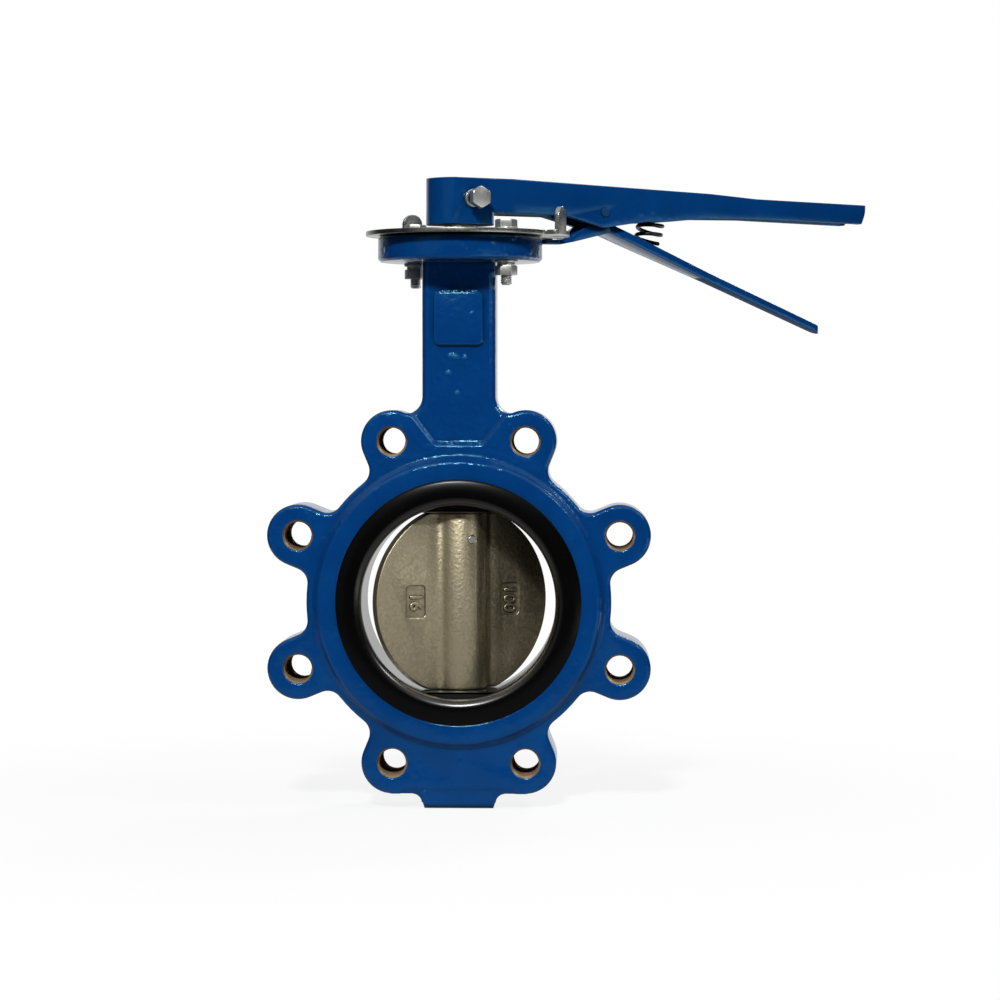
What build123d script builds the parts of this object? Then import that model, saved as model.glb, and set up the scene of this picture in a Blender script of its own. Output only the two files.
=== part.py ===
from build123d import *
import os
from math import cos, hypot, radians, sin, sqrt

# Lug-type butterfly valve, DN100, with a rubber seat and a notched lever handle.
# Millimetres, +Z up along the stem, +Y along the pipe. The origin is the centre of the bore at mid-length.
# The disc stands 30 degrees open. What turns with the stem is built closed, along +X, and then turned.

# ---- Passage, seat liner and disc ----
BORE_R = 50.0              # lined passage
FACE_TO_FACE = 52.0        # over the two rubber sealing faces
LINER_WALL = 8.0           # rubber tube between passage and casting
LIP_R = 63.2               # outer radius of the rubber lip at each face
LIP_THICKNESS = 6.0        # along the pipe
LIP_PROUD = 1.0            # how far the rubber stands out of the casting
LIP_ROUND = 4.7            # rounding of the passage edge
LIP_FLATS = 3              # cones that make up that rounding
SEAT_GAP = 0.3             # between the disc and the rubber
SEAT_PAD_Z = 46.1          # flat rubber pads round the stem, top and bottom
SEAT_PAD_HALF_WIDTH = 19.4
SEAT_PAD_HALF_LENGTH = 19.0
DISC_RIM = 5.0             # thickness at the rim
DISC_WEB = 7.0             # thickness beside the hub
HUB_R = 13.6               # round the stem
HUB_BLEND = 5.0            # fillet from hub to web
OPEN_ANGLE = 30.0          # where the disc and lever stand
SIZE_MARK_X = 27.5         # recessed marking fields, from the stem axis
SIZE_MARK = (11.0, 17.0)   # width and height of a marking field
SIZE_MARK_DEPTH = 0.6
SIZE_MARK_ROUND = 2.0

# ---- Body casting ----
LUG_COUNT = 8
LUG_PITCH_R = 90.0         # PN16 drilling, 180 pitch circle
LUG_FIRST_ANGLE = 22.5
LUG_R = 16.0
LUG_THICKNESS = 40.0
LUG_HOLE_R = 6.9           # M16, at the thread's minor diameter
HOLE_CHAMFER = 1.0
BARREL_INSET = 11.2        # barrel inside the lugs' pitch circle
RING_R = 73.5              # raised sealing ring round the lip
RING_FOOT = 2.4            # cone at the foot of the ring
CAST_BREAK = 1.4           # edges taken off all round the lugs, ring and top flange
LUG_BLEND = 8.0            # fillet between a lug and the barrel
WEB_RISE = 14.4            # web between two lugs, above their centres, beside the neck and below
WEB_BLEND = 3.0            # fillet from that web into the lugs
LINER_FIT = 0.05           # casting round the rubber

# ---- Neck and top flange (F07) ----
NECK_WIDTH = 38.0
NECK_DEPTH = 35.0
NECK_ROUND = 4.0
NECK_FLARE = 9.0           # fillet from the web up into the neck
FLARE_SINK = 0.4           # the flare ends this far inside the web
NECK_ROOT = 22.0           # height of the neck's foot inside the web
POCKET_DROP = 13.9         # the neck's face shows this far below the web's edge, in a shallow pocket
POCKET_TOP_WIDTH = 44.4    # at the web's edge
POCKET_FOOT_WIDTH = 23.4
POCKET_ROUND = 3.0
POCKET_DRAFT = 40.0        # its sides lean out by this angle
POCKET_UNDERCUT = 1.0      # cut this far behind the neck's face, which then closes it
TOP_FLANGE_R = 42.7
TOP_FLANGE_Z = 189.3       # upper face
TOP_FLANGE_THICKNESS = 13.3
TOP_BOLT_PCD = 70.0
TOP_HOLE_R = 3.5
NECK_PAD = (25.0, 27.0)    # raised blank pad on the neck's front
NECK_PAD_Z = 146.4
NECK_PAD_RAISE = 1.2
NECK_PAD_ROUND = 3.0
NECK_PAD_ROOT = 1.0        # how deep the pad starts inside the neck

# ---- Bottom boss ----
BOSS_DROP = 9.4            # below the web's edge
BOSS_FLOOR = 13.0          # left under the blind bore for the bottom bush
BOSS_FOOT_WIDTH = 35.7
BOSS_TOP_WIDTH = 41.0
BOSS_DEPTH = 38.0
BOSS_ROUND = 2.5

# ---- Stem, bushes and seals ----
STEM_R = 8.0
SHAFT_GAP = 0.05           # running clearance, on the radius
BUSH_WALL = 3.0
BUSH_FIT = 0.02            # bush in casting, on the radius
TOP_BUSH_LENGTH = 24.0
LOW_BUSH_LENGTH = 26.0
BUSH_STAND_OFF = 1.0       # between the rubber liner and a bush
SEAL_BORE_R = 8.6          # plain bore between the two neck bushes
SEAL_Z = (140.0, 147.0)    # centres of the two square-cut rings
SEAL_HEIGHT = 2.4
SEAL_GROOVE_DEPTH = 1.8    # in the stem
SEAL_GROOVE_GAP = 0.2      # above and below each ring
WASHER_BORE_GAP = 0.3
THRUST_POCKET_R = 13.0
THRUST_POCKET_DEPTH = 3.0
THRUST_WASHER = 1.2        # thickness
RETAINER_R = 11.5
RETAINER_THICKNESS = 1.0
RETAINER_GROOVE = 0.7      # depth in the stem
RETAINER_GAP = 0.3         # above the thrust washer
RETAINER_SLOT = 8.0        # opening in the ring
STEM_TOP_DROP = 1.5        # stem's end below the lever's top
STEM_END_GAP = 0.5         # under the stem, in the blind bush
STEM_BREAK = 1.0           # chamfer at its foot
SQUARE = 11.0              # drive square at the top of the stem
SQUARE_FIT = 0.05          # each side
TAPER_PIN_R = 2.3
TAPER_PIN_Z = 32.0
TAPER_PIN_PROUD = 0.4
PIN_FIT = 0.02

# ---- Notch plate and its bolts ----
PLATE_THICKNESS = 2.3
SECTOR_R = 57.0
SECTOR_STEP = 8.0          # sector beyond the round part of the plate
SECTOR_ENDS = (-26.5, 126.5)
SECTOR_ROUND = 2.5
NOTCH_ANGLES = range(0, 91, 15)
NOTCH_WIDTH = 6.8
NOTCH_DEPTH = 11.2         # from the sector's edge
STOP_ANGLES = (-20.0, 120.0)
STOP_WIDTH = 11.0
STOP_TOP_Z = 203.6
PLATE_BORE_R = 9.5
PLATE_HOLE_R = 3.3
BOLT_R = 3.0               # M6
BOLT_HEX = 10.0            # across flats
BOLT_HEAD = 4.0
BOLT_POINT = 0.6           # chamfer at the thread's end
HEX_BREAK = 0.5            # corners turned off heads and nuts
NUT_HEIGHT = 5.0
BOLT_WASHER_R = 6.0
BOLT_WASHER = 1.2
SPRING_WASHER_R = 4.65
SPRING_WASHER = 1.6
SPRING_WASHER_SLIT = 0.8
SPRING_WASHER_SKEW = 20.0  # slant of the slit, in degrees
BOLT_STUB = 5.0            # thread below the nut
BOLT_QUADRANTS = ((1, -1), (-1, 1))
BOLT_HOLE_GAP = 0.2        # washers and nuts round the bolt, on the radius

# ---- Lever ----
LEVER_TOP_Z = 219.1
HEAD_FOOT_Z = 195.2
HEAD_R = 17.7
HEAD_HALF_WIDTH = 14.0
HEAD_LENGTH = 24.0         # solid part, from the stem axis
LEVER_LENGTH = 250.0       # from the stem axis
ARM_FOOT_Z = 201.5         # underside behind the head
PIVOT_X = 80.0
PIVOT_Z = 203.5
PIVOT_BOSS_R = 8.0
BELLY_REACH = 25.0         # the boss runs out into the arm this far to each side
ARM_HALF_WIDTH = 12.5      # at the pivot
GRIP_X = 176.0             # where the grip begins
GRIP_HALF_WIDTH = 11.0
GRIP_TOP_Z = 214.5
GRIP_FOOT_Z = 204.0
GRIP_END_TOP_Z = 213.2
GRIP_END_FOOT_Z = 202.8
GRIP_END_RAKE = 5.0        # the end face leans in this much towards its foot
GRIP_END_ROUND = 5.0
LEVER_WALL = 3.6
LEVER_ROOF = 4.5
SET_BOLT_Z = 208.5
SET_BOLT_STAND_OFF = 5.0   # bare shank between spring washer and head

# ---- Trigger ----
PIVOT_PIN_R = 2.5
PIVOT_PIN_PROUD = 0.8
TRIGGER_EAR_R = 6.0
TRIGGER_EAR = 3.0          # thickness
TRIGGER_HALF_WIDTH = 8.3
TRIGGER_EAR_REACH = 18.0   # full width runs back to here, from the pivot
TONGUE_GAP = 0.3           # below the notch plate, with the trigger at rest
TONGUE_TIP_GAP = 2.2       # from the notches' roots to its tip
TONGUE_HALF_WIDTH = 3.0
TONGUE_THICKNESS = 2.5
TONGUE_NECK = 1.0          # the tongue clears the sector by this before it widens and rises
BEND_X = 85.0
BEND_FOOT_Z = 193.0
EAR_ROOT = 1.0             # how deep the ears start inside the bar
BAR_X = 104.0              # a section of the rear bar, and its top
BAR_TOP_Z = 190.8
BAR_SLOPE = 0.385          # fall per millimetre
TAIL_X = 223.0
TAIL_THICKNESS = 4.0
TAIL_HALF_WIDTH = 3.6
WAIST_X = 150.0            # the bar narrows to here
WAIST_HALF_WIDTH = 4.2

# ---- Trigger spring ----
SPRING_X = 113.0
SPRING_R = 6.6             # to the wire's centre
SPRING_WIRE_R = 0.9
SPRING_WIRE_SIDES = 8      # flats round the wire
SPRING_TURNS = 4
SPRING_SIDES = 12          # straight lengths of wire in a turn
SPRING_LEAN = 11.0         # degrees from upright, towards the grip
SPRING_END_GAP = 2.4       # wire centre to each seat, measured on the axis

# ---- Worked-out sizes ----
HALF_FACE = FACE_TO_FACE / 2
RING_FACE_Y = HALF_FACE - LIP_PROUD
LUG_FACE_Y = LUG_THICKNESS / 2
LINER_TUBE_R = BORE_R + LINER_WALL
LIP_BACK_Y = HALF_FACE - LIP_THICKNESS
DISC_R = BORE_R - SEAT_GAP
DISC_TOP_Z = SEAT_PAD_Z - SEAT_GAP
TOP_FLANGE_FOOT_Z = TOP_FLANGE_Z - TOP_FLANGE_THICKNESS
LUG_X = LUG_PITCH_R * cos(radians(90 - LUG_FIRST_ANGLE))
BARREL_R = LUG_PITCH_R - BARREL_INSET
WEB_Z = LUG_PITCH_R * sin(radians(90 - LUG_FIRST_ANGLE)) + WEB_RISE
POCKET_FOOT_Z = WEB_Z - POCKET_DROP
BOSS_Z = -WEB_Z - BOSS_DROP
BUSH_R = STEM_R + SHAFT_GAP + BUSH_WALL
POCKET_Z = TOP_FLANGE_Z - THRUST_POCKET_DEPTH
TOP_BUSH_FOOT_Z = POCKET_Z - TOP_BUSH_LENGTH
LOW_BUSH_FOOT_Z = LINER_TUBE_R + BUSH_STAND_OFF
LOW_BUSH_TOP_Z = LOW_BUSH_FOOT_Z + LOW_BUSH_LENGTH
BOTTOM_BUSH_FOOT_Z = BOSS_Z + BOSS_FLOOR
STEM_FOOT_Z = BOTTOM_BUSH_FOOT_Z + STEM_END_GAP
PLATE_TOP_Z = TOP_FLANGE_Z + PLATE_THICKNESS
PLATE_R = SECTOR_R - SECTOR_STEP
NOTCH_ROOT_R = SECTOR_R - NOTCH_DEPTH
RETAINER_FOOT_Z = POCKET_Z + THRUST_WASHER + RETAINER_GAP
RETAINER_BORE_R = STEM_R - RETAINER_GROOVE + PIN_FIT
BOLT_XY = TOP_BOLT_PCD / 2 * cos(radians(45))
BOLT_HEAD_Z = PLATE_TOP_Z + BOLT_WASHER
NUT_TOP_Z = TOP_FLANGE_FOOT_Z - BOLT_WASHER - SPRING_WASHER
BOLT_END_Z = NUT_TOP_Z - NUT_HEIGHT - BOLT_STUB
TONGUE_TOP_Z = TOP_FLANGE_Z - TONGUE_GAP
TONGUE_TIP_X = NOTCH_ROOT_R + TONGUE_TIP_GAP
SET_BOLT_HEAD_Y = HEAD_HALF_WIDTH + SPRING_WASHER + SET_BOLT_STAND_OFF


# ---- Shared shapes ----
def cylinder_z(radius, low, high):
    """Upright cylinder between two heights."""
    return Pos(0, 0, (low + high) / 2) * Cylinder(radius, high - low)


def cylinder_y(radius, start, end):
    """Cylinder along the pipe, between two distances."""
    return Pos(0, (start + end) / 2, 0) * Rot(90, 0, 0) * Cylinder(radius, end - start)


def tube_z(outer, inner, low, high):
    """Upright tube between two heights."""
    return cylinder_z(outer, low, high) - cylinder_z(inner, low - 1, high + 1)


def hexagon_z(across_flats, low, high):
    """Upright hexagonal prism with its upper corners turned off."""
    corner_r = across_flats / sqrt(3)
    prism = Pos(0, 0, low) * extrude(RegularPolygon(corner_r, 6), high - low)
    turned_off = chamfer(cylinder_z(corner_r, low, high).edges().group_by(Axis.Z)[-1], HEX_BREAK)
    return prism & turned_off


def side_profile(points):
    """Closed outline in the XZ plane."""
    return make_face(Polyline(*points, close=True))


def upright_slab(outline, half_width):
    """An XZ outline thickened equally to both sides of the stem's plane."""
    return extrude(Plane.XZ * outline, half_width, both=True)


def turned(solid):
    """Turns a piece with the stem, from closed to where the disc stands."""
    return Rot(0, 0, OPEN_ANGLE) * solid


# ---- Body casting ----
def casting_outline():
    """Barrel, lugs and webs as seen along the pipe."""
    outline = Circle(BARREL_R)
    for index in range(LUG_COUNT):
        angle = LUG_FIRST_ANGLE + index * 360 / LUG_COUNT
        arm = Pos(LUG_PITCH_R / 2, 0) * Rectangle(LUG_PITCH_R, 2 * LUG_R)
        outline += Rot(0, 0, angle) * (arm + Pos(LUG_PITCH_R, 0) * Circle(LUG_R))
    roots = [v for v in outline.vertices() if hypot(v.X, v.Y) < BARREL_R + 1]
    outline = fillet(roots, LUG_BLEND) + Rectangle(2 * LUG_X, 2 * WEB_Z)
    web_ends = [v for v in outline.vertices() if abs(abs(v.Y) - WEB_Z) < 0.1]
    return fillet(web_ends, WEB_BLEND)


def neck():
    """Column from the barrel up into the flange, flaring out where it leaves the web."""
    top = TOP_FLANGE_Z - CAST_BREAK
    foot = WEB_Z - FLARE_SINK
    column = Pos(0, (foot + top) / 2) * Rectangle(NECK_WIDTH, top - foot)
    root = Pos(0, foot - NECK_ROOT / 2) * Rectangle(NECK_WIDTH + 2 * NECK_FLARE + CAST_BREAK, NECK_ROOT)
    profile = column + root
    corners = [v for v in profile.vertices() if abs(v.Y - foot) < 0.1 and abs(v.X) < NECK_WIDTH / 2 + 0.1]
    slab = upright_slab(fillet(corners, NECK_FLARE), NECK_DEPTH / 2)
    return fillet(slab.faces().filter_by(Plane.XZ).edges(), NECK_ROUND)


def web_pocket(side):
    """What the pocket takes out of the web in front of or behind the neck's root."""
    foot = POCKET_FOOT_WIDTH / 2
    top = POCKET_TOP_WIDTH / 2
    head_z = WEB_Z + NECK_FLARE
    outline = make_face(Polyline((-foot, POCKET_FOOT_Z), (foot, POCKET_FOOT_Z), (top, WEB_Z), (top, head_z),
                                 (-top, head_z), (-top, WEB_Z), close=True))
    outline = fillet(outline.vertices().group_by(Axis.Y)[0], POCKET_ROUND)
    floor_y = NECK_DEPTH / 2 - POCKET_UNDERCUT
    front = extrude(Plane.XZ.offset(floor_y) * outline, LUG_FACE_Y - floor_y + 1, taper=-POCKET_DRAFT)
    return front if side < 0 else mirror(front, Plane.XZ)


def top_flange():
    plate = cylinder_z(TOP_FLANGE_R, TOP_FLANGE_FOOT_Z, TOP_FLANGE_Z)
    return chamfer(plate.edges().filter_by(GeomType.CIRCLE), CAST_BREAK)


def neck_pad():
    pad = RectangleRounded(*NECK_PAD, NECK_PAD_ROUND)
    front = Plane.XZ.offset(NECK_DEPTH / 2 - NECK_PAD_ROOT) * Pos(0, NECK_PAD_Z)
    return extrude(front * pad, NECK_PAD_ROOT + NECK_PAD_RAISE)


def bottom_boss():
    top = BOSS_TOP_WIDTH / 2
    foot = BOSS_FOOT_WIDTH / 2
    profile = side_profile([(-top, LUG_R - WEB_Z), (top, LUG_R - WEB_Z), (top, -WEB_Z), (foot, BOSS_Z),
                            (-foot, BOSS_Z), (-top, -WEB_Z)])
    boss = upright_slab(profile, BOSS_DEPTH / 2)
    return fillet(boss.faces().filter_by(Plane.XZ).edges(), BOSS_ROUND)


def casting_bores():
    cavity = cylinder_y(LINER_TUBE_R + LINER_FIT, -HALF_FACE, HALF_FACE)
    for side in (-1, 1):
        ends = sorted((side * (LIP_BACK_Y - LINER_FIT), side * HALF_FACE))
        cavity += cylinder_y(LIP_R + LINER_FIT, *ends)
    bush_bore = BUSH_R + BUSH_FIT
    cavity += cylinder_z(THRUST_POCKET_R, POCKET_Z, TOP_FLANGE_Z + 1)
    cavity += cylinder_z(bush_bore, TOP_BUSH_FOOT_Z, POCKET_Z + 1)
    cavity += cylinder_z(SEAL_BORE_R, LOW_BUSH_TOP_Z - 1, TOP_BUSH_FOOT_Z + 1)
    cavity += cylinder_z(bush_bore, 0, LOW_BUSH_TOP_Z)
    cavity += cylinder_z(bush_bore, BOTTOM_BUSH_FOOT_Z, 0)
    return cavity


def lug_holes():
    hole = cylinder_y(LUG_HOLE_R, -LUG_THICKNESS, LUG_THICKNESS)
    for side in (-1, 1):
        mouth = Cone(LUG_HOLE_R, LUG_HOLE_R + 2 * HOLE_CHAMFER, 2 * HOLE_CHAMFER)
        hole += Rot(-90 * side, 0, 0) * Pos(0, 0, LUG_FACE_Y) * mouth
    holes = []
    for index in range(LUG_COUNT):
        angle = LUG_FIRST_ANGLE + index * 360 / LUG_COUNT
        holes.append(Rot(0, angle, 0) * Pos(LUG_PITCH_R, 0, 0) * hole)
    return holes


def body_casting():
    body = upright_slab(casting_outline(), LUG_FACE_Y)
    body = chamfer(body.faces().filter_by(Plane.XZ).edges(), CAST_BREAK)
    body -= [web_pocket(-1), web_pocket(1)]
    ring = cylinder_y(RING_R, -RING_FACE_Y, RING_FACE_Y)
    body += chamfer(ring.edges().filter_by(GeomType.CIRCLE), CAST_BREAK)
    for side in (-1, 1):
        foot = Pos(0, 0, LUG_FACE_Y + RING_FOOT / 2) * Cone(RING_R + RING_FOOT, RING_R, RING_FOOT)
        body += Rot(-90 * side, 0, 0) * foot
    body += neck()
    body += top_flange()
    body += neck_pad()
    body += bottom_boss()
    body -= casting_bores()
    body -= lug_holes()
    for x_sign in (-1, 1):
        for y_sign in (-1, 1):
            hole = cylinder_z(TOP_HOLE_R, TOP_FLANGE_FOOT_Z - 1, TOP_FLANGE_Z + 1)
            body -= Pos(x_sign * BOLT_XY, y_sign * BOLT_XY, 0) * hole
    return body


# ---- Seat liner ----
def seat_liner():
    # Half of the section, as radius against distance along the pipe, and then its mirror image.
    turns = [radians(90 * step / LIP_FLATS) for step in range(LIP_FLATS + 1)]
    edge = [(BORE_R + LIP_ROUND * (1 - cos(a)), HALF_FACE - LIP_ROUND * (1 - sin(a))) for a in turns]
    half_section = make_face(Polyline((BORE_R, 0), *edge, (LIP_R, HALF_FACE), (LIP_R, LIP_BACK_Y),
                                      (LINER_TUBE_R, LIP_BACK_Y), (LINER_TUBE_R, 0), close=True))
    section = half_section + mirror(half_section, Plane.XZ)
    liner = revolve(section, Axis.Y)
    for side in (-1, 1):
        pad = Box(2 * SEAT_PAD_HALF_WIDTH, 2 * SEAT_PAD_HALF_LENGTH, BORE_R)
        pad = Pos(0, 0, side * (SEAT_PAD_Z + BORE_R / 2)) * pad
        liner += pad & cylinder_y(BORE_R + LINER_WALL / 2, -HALF_FACE, HALF_FACE)
    return liner - cylinder_z(STEM_R + SHAFT_GAP, -LIP_R, LIP_R)


# ---- Disc ----
def disc():
    # One section seen from above, web and hub, and then a ball that trims the rim to clear the passage.
    web = DISC_WEB / 2
    rim = DISC_RIM / 2
    root = HUB_R + HUB_BLEND
    section = make_face(Polyline((-BORE_R, -rim), (-root, -web), (root, -web), (BORE_R, -rim),
                                 (BORE_R, rim), (root, web), (-root, web), (-BORE_R, rim), close=True))
    section += Circle(HUB_R)
    corners = [v for v in section.vertices() if hypot(v.X, v.Y) < HUB_R + 0.1]
    section = fillet(corners, HUB_BLEND)
    body = extrude(section, BORE_R, both=True) & Sphere(DISC_R)
    body &= Box(2 * BORE_R, 2 * BORE_R, 2 * DISC_TOP_Z)
    face_y = web - (web - rim) * (SIZE_MARK_X - root) / (BORE_R - root)
    for side in (-1, 1):
        field = Pos(side * SIZE_MARK_X, 0) * RectangleRounded(*SIZE_MARK, SIZE_MARK_ROUND)
        body -= extrude(Plane.XZ.offset(face_y - SIZE_MARK_DEPTH) * field, DISC_WEB)
    body -= cylinder_z(STEM_R + PIN_FIT, -BORE_R, BORE_R)
    body -= Pos(0, 0, TAPER_PIN_Z) * cylinder_y(TAPER_PIN_R + PIN_FIT, -BORE_R, BORE_R)
    return turned(body)


def disc_taper_pin():
    reach = sqrt(HUB_R ** 2 - TAPER_PIN_R ** 2) + TAPER_PIN_PROUD
    pin = cylinder_y(TAPER_PIN_R, -reach, reach)
    pin = chamfer(pin.edges().filter_by(GeomType.CIRCLE), TAPER_PIN_PROUD)
    return turned(Pos(0, 0, TAPER_PIN_Z) * pin)


# ---- Stem, bushes and seals ----
def stem():
    shaft = cylinder_z(STEM_R, STEM_FOOT_Z, HEAD_FOOT_Z)
    shaft = chamfer(shaft.edges().group_by(Axis.Z)[0], STEM_BREAK)
    square_height = LEVER_TOP_Z - STEM_TOP_DROP - HEAD_FOOT_Z
    shaft += Pos(0, 0, HEAD_FOOT_Z + square_height / 2) * Box(SQUARE, SQUARE, square_height)
    groove_half = SEAL_HEIGHT / 2 + SEAL_GROOVE_GAP
    for height in SEAL_Z:
        shaft -= tube_z(BUSH_R, STEM_R - SEAL_GROOVE_DEPTH, height - groove_half, height + groove_half)
    retainer_top = RETAINER_FOOT_Z + RETAINER_THICKNESS
    shaft -= tube_z(BUSH_R, STEM_R - RETAINER_GROOVE, RETAINER_FOOT_Z - PIN_FIT, retainer_top + PIN_FIT)
    shaft -= Pos(0, 0, TAPER_PIN_Z) * cylinder_y(TAPER_PIN_R + PIN_FIT, -STEM_R, STEM_R)
    return turned(shaft)


def stem_seal_rings():
    inner = STEM_R - SEAL_GROOVE_DEPTH + PIN_FIT
    ring = tube_z(SEAL_BORE_R - SHAFT_GAP, inner, -SEAL_HEIGHT / 2, SEAL_HEIGHT / 2)
    return Compound(children=[Pos(0, 0, height) * ring for height in SEAL_Z])


def stem_bush(low, high):
    return tube_z(BUSH_R, STEM_R + SHAFT_GAP, low, high)


def stem_thrust_washer():
    outer = THRUST_POCKET_R - WASHER_BORE_GAP
    return tube_z(outer, STEM_R + WASHER_BORE_GAP, POCKET_Z, POCKET_Z + THRUST_WASHER)


def stem_retaining_ring():
    ring = tube_z(RETAINER_R, RETAINER_BORE_R, RETAINER_FOOT_Z, RETAINER_FOOT_Z + RETAINER_THICKNESS)
    gap = Box(2 * RETAINER_R - STEM_R, RETAINER_SLOT, 4 * RETAINER_THICKNESS)
    return turned(ring - Pos(-RETAINER_R, 0, RETAINER_FOOT_Z) * gap)


# ---- Notch plate and its bolts ----
def polar(radius, angle):
    return (radius * cos(radians(angle)), radius * sin(radians(angle)))


def notch_plate():
    start, end = SECTOR_ENDS
    fan_angles = [start + (end - start) * step / 4 for step in range(5)]
    fan = make_face(Polyline((0, 0), *[polar(2 * SECTOR_R, angle) for angle in fan_angles], close=True))
    outline = Circle(PLATE_R) + (Circle(SECTOR_R) & fan)
    outer = [v for v in outline.vertices() if hypot(v.X, v.Y) > PLATE_R + 1]
    outline = fillet(outer, SECTOR_ROUND)
    inner = [v for v in outline.vertices() if abs(hypot(v.X, v.Y) - PLATE_R) < 0.1]
    outline = fillet(inner, SECTOR_ROUND)
    for angle in NOTCH_ANGLES:
        root_x = NOTCH_ROOT_R + NOTCH_WIDTH / 2
        slot = Pos(root_x, 0) * Circle(NOTCH_WIDTH / 2)
        slot += Pos(root_x + SECTOR_R / 2, 0) * Rectangle(SECTOR_R, NOTCH_WIDTH)
        outline -= Rot(0, 0, angle) * slot
    outline -= Circle(PLATE_BORE_R)
    for x_sign in (-1, 1):
        for y_sign in (-1, 1):
            outline -= Pos(x_sign * BOLT_XY, y_sign * BOLT_XY) * Circle(PLATE_HOLE_R)
    plate = Pos(0, 0, TOP_FLANGE_Z) * extrude(outline, PLATE_THICKNESS)
    for angle in STOP_ANGLES:
        plate += Rot(0, 0, angle) * Pos(SECTOR_R - PLATE_THICKNESS, 0, 0) * stop_tab()
    return plate


def stop_tab():
    """Upright ear with a round top, bent up from the plate's edge."""
    shoulder_z = STOP_TOP_Z - STOP_WIDTH / 2
    face = Pos(0, shoulder_z) * Circle(STOP_WIDTH / 2)
    face += Pos(0, (TOP_FLANGE_Z + shoulder_z) / 2) * Rectangle(STOP_WIDTH, shoulder_z - TOP_FLANGE_Z)
    return extrude(Plane.YZ * face, PLATE_THICKNESS)


def at_plate_bolts(piece):
    places = [Pos(x_sign * BOLT_XY, y_sign * BOLT_XY, 0) for x_sign, y_sign in BOLT_QUADRANTS]
    return Compound(children=[place * piece for place in places])


def plate_bolts():
    shank = cylinder_z(BOLT_R, BOLT_END_Z, BOLT_HEAD_Z)
    shank = chamfer(shank.edges().group_by(Axis.Z)[0], BOLT_POINT)
    return at_plate_bolts(shank + hexagon_z(BOLT_HEX, BOLT_HEAD_Z, BOLT_HEAD_Z + BOLT_HEAD))


def plate_washers():
    bore = BOLT_R + BOLT_HOLE_GAP
    upper = tube_z(BOLT_WASHER_R, bore, PLATE_TOP_Z, BOLT_HEAD_Z)
    lower = tube_z(BOLT_WASHER_R, bore, TOP_FLANGE_FOOT_Z - BOLT_WASHER, TOP_FLANGE_FOOT_Z)
    return Compound(children=[*at_plate_bolts(upper).solids(), *at_plate_bolts(lower).solids()])


def spring_washer(low):
    ring = tube_z(SPRING_WASHER_R, BOLT_R + BOLT_HOLE_GAP, low, low + SPRING_WASHER)
    slit = Rot(SPRING_WASHER_SKEW, 0, 0) * Box(2 * SPRING_WASHER_R, SPRING_WASHER_SLIT, 4 * SPRING_WASHER)
    return ring - Pos(SPRING_WASHER_R, 0, low + SPRING_WASHER / 2) * slit


def plate_nuts():
    nut = hexagon_z(BOLT_HEX, NUT_TOP_Z - NUT_HEIGHT, NUT_TOP_Z)
    return at_plate_bolts(nut - cylinder_z(BOLT_R + PIN_FIT, NUT_TOP_Z - 2 * NUT_HEIGHT, NUT_TOP_Z + 1))


# ---- Lever ----
def lever_plan(inset):
    """The lever from above, from the stem axis to its end, drawn in by the wall for the channel inside."""
    head = HEAD_HALF_WIDTH - inset
    arm = ARM_HALF_WIDTH - inset
    grip = GRIP_HALF_WIDTH - inset
    end = LEVER_LENGTH - inset
    outline = make_face(Polyline((0, -head), (HEAD_R, -head), (PIVOT_X, -arm), (GRIP_X, -grip), (end, -grip),
                                 (end, grip), (GRIP_X, grip), (PIVOT_X, arm), (HEAD_R, head), (0, head),
                                 close=True))
    return fillet(outline.vertices().group_by(Axis.X)[-1], GRIP_END_ROUND)


def lever_handle():
    top = [(LEVER_LENGTH, GRIP_END_TOP_Z), (GRIP_X, GRIP_TOP_Z), (HEAD_LENGTH, LEVER_TOP_Z)]
    side = side_profile([(-HEAD_R, ARM_FOOT_Z), (PIVOT_X - BELLY_REACH, ARM_FOOT_Z), (PIVOT_X, PIVOT_Z),
                         (PIVOT_X + BELLY_REACH, ARM_FOOT_Z), (GRIP_X, GRIP_FOOT_Z),
                         (LEVER_LENGTH - GRIP_END_RAKE, GRIP_END_FOOT_Z), *top, (-HEAD_R, LEVER_TOP_Z)])
    boss = Pos(PIVOT_X, PIVOT_Z) * Circle(PIVOT_BOSS_R)
    flanks = Line((PIVOT_X - BELLY_REACH, ARM_FOOT_Z), (PIVOT_X + BELLY_REACH, ARM_FOOT_Z))
    side += make_hull(boss.edges() + flanks.edges())
    arm = upright_slab(side, HEAD_R)
    head_plan = Circle(HEAD_R) & Rectangle(2 * HEAD_R, 2 * HEAD_HALF_WIDTH)
    arm &= extrude(head_plan + lever_plan(0), LEVER_TOP_Z)
    head_height = LEVER_TOP_Z - HEAD_FOOT_Z
    head = Pos(0, 0, HEAD_FOOT_Z) * extrude(head_plan, head_height)
    lever = arm + head
    roof = [(x, z - LEVER_ROOF) for x, z in top]
    channel = side_profile([(HEAD_LENGTH, 0), (LEVER_LENGTH, 0), *roof])
    lever -= upright_slab(channel, HEAD_R) & extrude(lever_plan(LEVER_WALL), LEVER_TOP_Z)
    square = SQUARE + 2 * SQUARE_FIT
    lever -= Pos(0, 0, HEAD_FOOT_Z + head_height / 2) * Box(square, square, 2 * head_height)
    lever -= Pos(0, 0, SET_BOLT_Z) * cylinder_y(BOLT_R + PIN_FIT, -HEAD_R, 0)
    lever -= Pos(PIVOT_X, 0, PIVOT_Z) * cylinder_y(PIVOT_PIN_R + PIN_FIT, -HEAD_R, HEAD_R)
    return turned(lever)


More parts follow.
